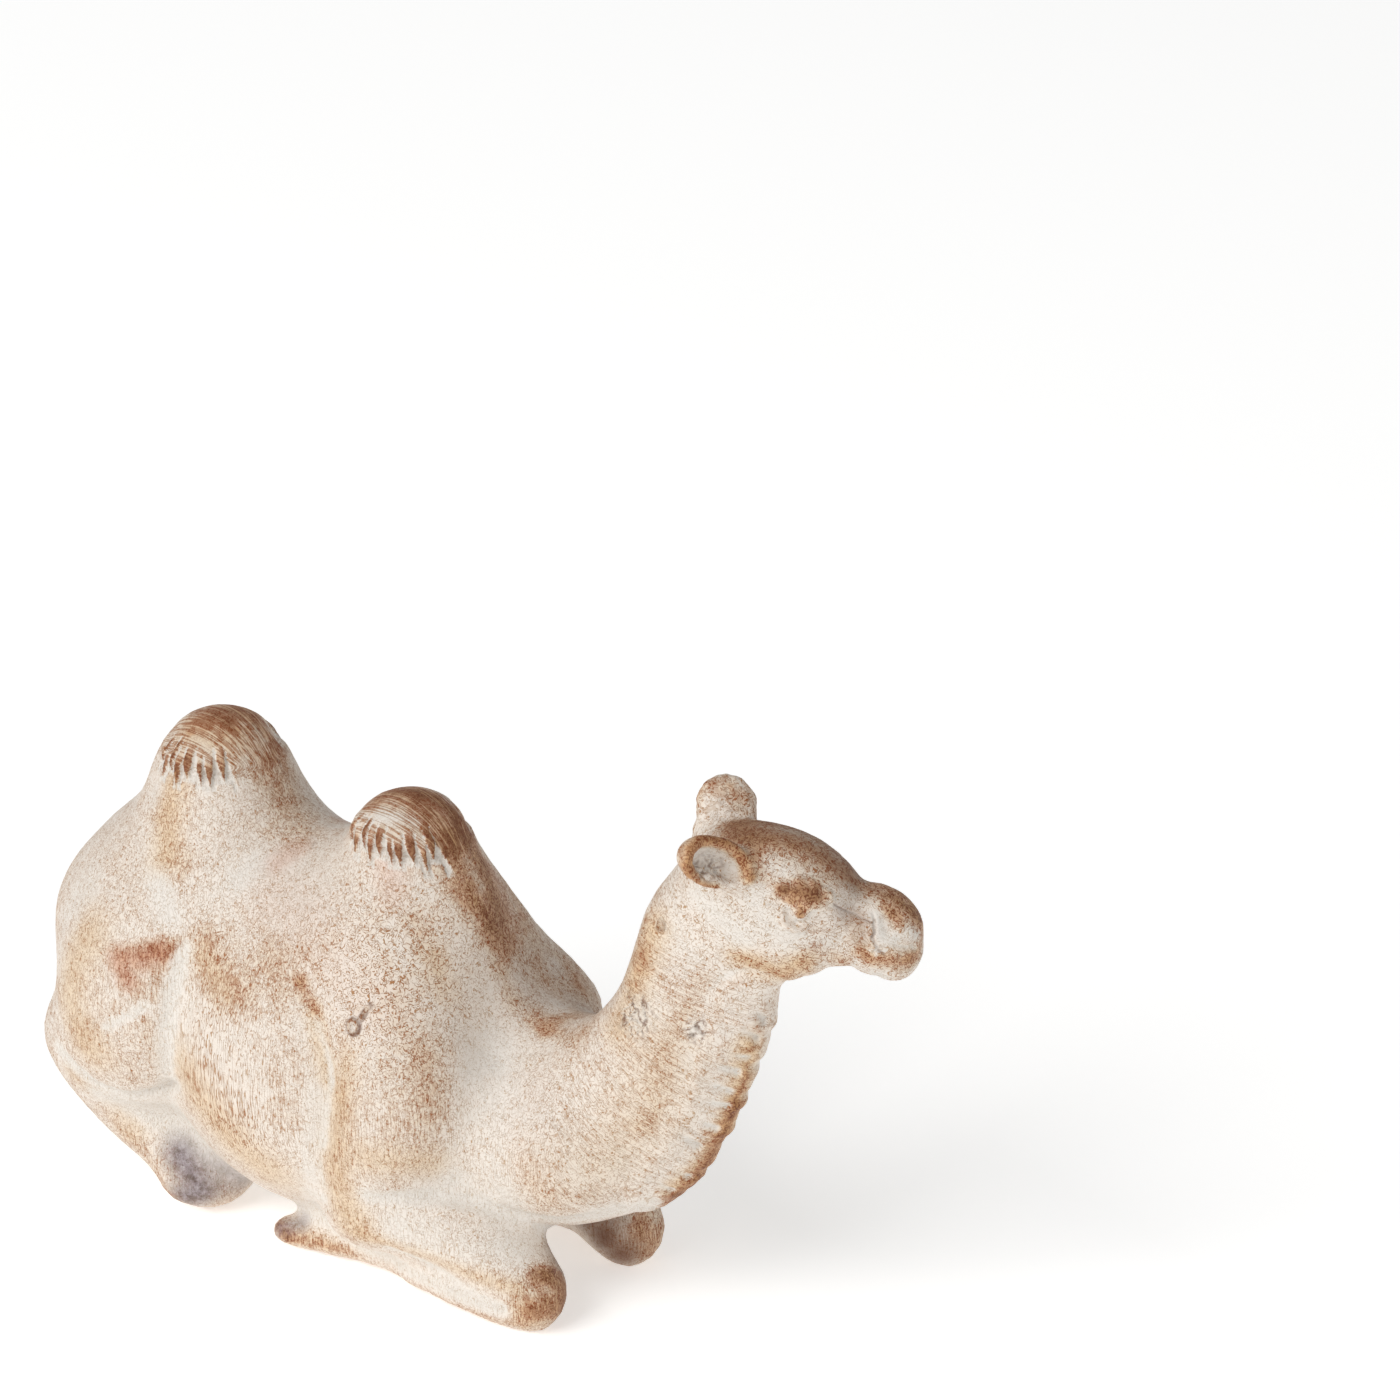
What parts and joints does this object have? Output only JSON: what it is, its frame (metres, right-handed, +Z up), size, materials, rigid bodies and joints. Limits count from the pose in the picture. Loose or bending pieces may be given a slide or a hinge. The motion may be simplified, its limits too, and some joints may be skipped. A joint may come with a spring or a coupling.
{
  "type": "camel figurine",
  "caption": "Reclining two-humped camel with folded legs and a raised, turned head; a cast table ornament that stands by its own weight.",
  "frame": {"origin": "on the table, at the middle of the camel's length and width", "axes": "+X the way the camel lies, towards its head; +Y its left side; +Z up"},
  "size_m": [0.1329, 0.0431, 0.0792],
  "materials": {
    "cast_resin": "cream coat rubbed through to rust brown, matt satin"
  },
  "bodies": {
    "root": {"camel": "cast_resin"}
  },
  "joints": []
}
